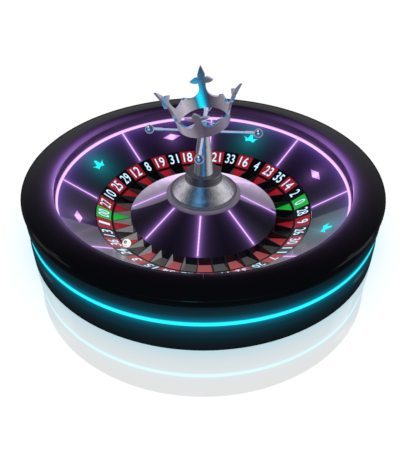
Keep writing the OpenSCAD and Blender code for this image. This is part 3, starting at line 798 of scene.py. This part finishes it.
def make_numerals(name, swell, grow, lift, look):
    """Numerals inlaid in the number plates, their tops to the outside."""
    slope = math.atan(plate_rise)
    middle_z = plate_in_z + (plate_middle_r - plate_in_r) * plate_rise
    verts, faces = [], []
    for k, label in enumerate(wheel_order):
        angle = first_pocket_angle - k * pitch
        flat, made = text_mesh(label, numeral_height + grow, numeral_width(label) + grow, swell)
        outward = Vector((math.cos(angle), math.sin(angle), 0))
        across = Vector((math.sin(angle), -math.cos(angle), 0))
        up_slope = outward * math.cos(slope) + Vector((0, 0, math.sin(slope)))
        normal = Vector((0, 0, math.cos(slope))) - outward * math.sin(slope)
        middle = outward * plate_middle_r + Vector((0, 0, middle_z))
        start = len(verts)
        for x, y in flat:
            place = middle + across * x + up_slope * y
            # The plates are parts of a cone, so a point beside the middle line lies higher.
            reach = math.hypot(place.x, place.y)
            rise = reach - plate_middle_r - y * math.cos(slope)
            place.z += rise * math.tan(slope)
            verts.append(place + normal * lift)
        faces += [tuple(start + i for i in face) for face in made]
    return add_piece(name, verts, faces, look, "rotor", smooth=False)


# Painted blue glow round each numeral, under white numerals that carry a painted glow of their own.
make_numerals("numeral_glow_halo", 0.022, 0.0010, 0.00015,
              plastic("numeral_blue_glow", (0.05, 0.25, 0.4), (0.3, 0.4), level=0.3, dark=0.95,
                      glow=(0.06, 0.22, 0.36)))
make_numerals("numerals", 0.0, 0.0, 0.0003,
              plastic("numeral_white", (0.75, 0.9, 1.0), (0.3, 0.4), level=0.3, dark=0.95,
                      glow=(0.50, 0.66, 0.72)))


def tube_loop(path, radius, sides, verts, faces):
    """Adds a closed tube round a closed path of points."""
    start = len(verts)
    count = len(path)
    for i, point in enumerate(path):
        ahead = (path[(i + 1) % count] - path[i - 1]).normalized()
        side = ahead.cross(Vector((0, 0, 1))).normalized()
        over = side.cross(ahead)
        for j in range(sides):
            turn = math.tau * j / sides
            verts.append(point + (side * math.cos(turn) + over * math.sin(turn)) * radius)
    for i in range(count):
        for j in range(sides):
            a = start + i * sides + j
            b = start + i * sides + (j + 1) % sides
            c = start + ((i + 1) % count) * sides + (j + 1) % sides
            d = start + ((i + 1) % count) * sides + j
            faces.append((a, b, c, d))


rope_strands, rope_twists = 4, 30
rope_steps, strand_sides = 360, 8
strand_share = 0.52


def make_rope_ring():
    """Rope of four strands laid round the turret's dome."""
    low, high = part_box("turret_rope_ring")
    thick = (high.z - low.z) / 2
    ring = high.x - thick
    middle = (low.z + high.z) / 2
    strand = thick * strand_share
    offset = thick - strand
    verts, faces = [], []
    for s in range(rope_strands):
        path = []
        for i in range(rope_steps):
            around = math.tau * i / rope_steps
            turn = around * rope_twists + math.tau * s / rope_strands
            r = ring + offset * math.cos(turn)
            path.append(Vector((r * math.cos(around), r * math.sin(around),
                                middle + offset * math.sin(turn))))
        tube_loop(path, strand, strand_sides, verts, faces)
    steel = satin_silver("rope_steel", turned_light, bright_silver, (0.2, 0.3), 0.3)
    piece = add_piece("rope_ring", verts, faces, steel, "rotor")
    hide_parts("turret_rope_ring")


make_rope_ring()


# ---- Floor, lights and surroundings ----

paper_white = (1.02, 1.02, 1.02, 1)
floor_half = 9
floor_glow_r = 0.4
floor_halo = ((0.026, 1.0),)
floor_mirror = 0.24


def make_floor():
    """Pale glossy floor: a weak mirror image, and a faint painted cyan light round the wheel."""
    mesh = bpy.data.meshes.new("floor")
    corners = [(x * floor_half, y * floor_half, 0) for x, y in ((-1, -1), (1, -1), (1, 1), (-1, 1))]
    mesh.from_pydata(corners, [], [(0, 1, 2, 3)])
    floor = bpy.data.objects.new("floor", mesh)
    scene.collection.objects.link(floor)
    m, g = new_material("floor_white")
    radius, angle, z = g.polar()
    beside = g.ramp(g.math("SINE", angle), -0.5, 0.0, 0.5, 0.95)
    painted_cyan_share = g.math("MULTIPLY", g.halo(g.above(radius, floor_glow_r), floor_halo), beside)
    white = g.node("ShaderNodeEmission")
    g.put(white.inputs[0], g.mix(painted_cyan_share, paper_white, (0.3, 0.82, 1.02, 1)))
    mirror = g.node("ShaderNodeBsdfGlossy")
    mirror.inputs["Roughness"].default_value = 0.0
    mirror.inputs["Color"].default_value = (1, 1, 1, 1)
    g.close(choose(g, floor_mirror, white, mirror))
    mesh.materials.append(m)
    floor.visible_glossy = False
    floor.visible_diffuse = False


def choose(g, share, a, b):
    """Shader a where the share is 0, shader b where it is 1."""
    n = g.node("ShaderNodeMixShader")
    g.put(n.inputs[0], share)
    g.put(n.inputs[1], a.outputs[0])
    g.put(n.inputs[2], b.outputs[0])
    return n


def background(g, color):
    n = g.node("ShaderNodeBackground")
    g.put(n.inputs[0], color)
    return n


def make_world():
    """White to the eye and in the floor; a dim studio, darker at its sides, in the gloss."""
    world = bpy.data.worlds.new("studio")
    world.use_nodes = True
    scene.world = world
    g = Graph(world.node_tree)
    path = g.node("ShaderNodeLightPath")
    x, y, z = g.split(g.node("ShaderNodeTexCoord").outputs["Generated"])
    low = g.ramp(z, 0.40, 0.56, 0.42, 0.17)
    high = g.ramp(z, 0.56, 0.75, 1.0, 0.2)
    aside = g.ramp(g.math("ABSOLUTE", x), 0.3, 0.6, 1.0, 0.45)
    below = g.ramp(z, 0.02, 0.2, 0.06, 1.0)
    sky = g.math("MULTIPLY", g.math("MULTIPLY", low, high), aside)
    gloss = background(g, g.scale((1.0, 1.0, 1.05), g.math("MULTIPLY", sky, below)))
    soft = background(g, (0.45, 0.45, 0.47, 1))
    shiny = choose(g, path.outputs["Is Glossy Ray"], soft, gloss)
    seen = g.math("MAXIMUM", path.outputs["Is Camera Ray"], path.outputs["Is Singular Ray"])
    g.close(choose(g, seen, shiny, background(g, paper_white)), "World")


def soft_box(name, place, target_z, size, power, color=(1, 1, 1)):
    """A rectangular lamp that points at a height on the wheel's axis."""
    data = bpy.data.lights.new(name, "AREA")
    data.shape = "RECTANGLE"
    data.size, data.size_y = size
    data.energy = power
    data.color = color
    lamp = bpy.data.objects.new(name, data)
    lamp.location = place
    way = Vector((0, 0, target_z)) - Vector(place)
    lamp.rotation_euler = way.to_track_quat("-Z", "Y").to_euler()
    scene.collection.objects.link(lamp)


def make_lights():
    soft_box("key_left", (-2.4, 0.6, 1.7), 0.2, (0.9, 1.4), 2.5)
    soft_box("key_right", (2.4, 0.6, 1.7), 0.2, (0.9, 1.4), 3.5)
    soft_box("cyan_strip", (-0.3, -2.6, 0.9), 0.3, (0.35, 2.2), 8, (0.1, 0.62, 1.0))


make_floor()
make_world()
make_lights()
scene.view_settings.view_transform = "Standard"
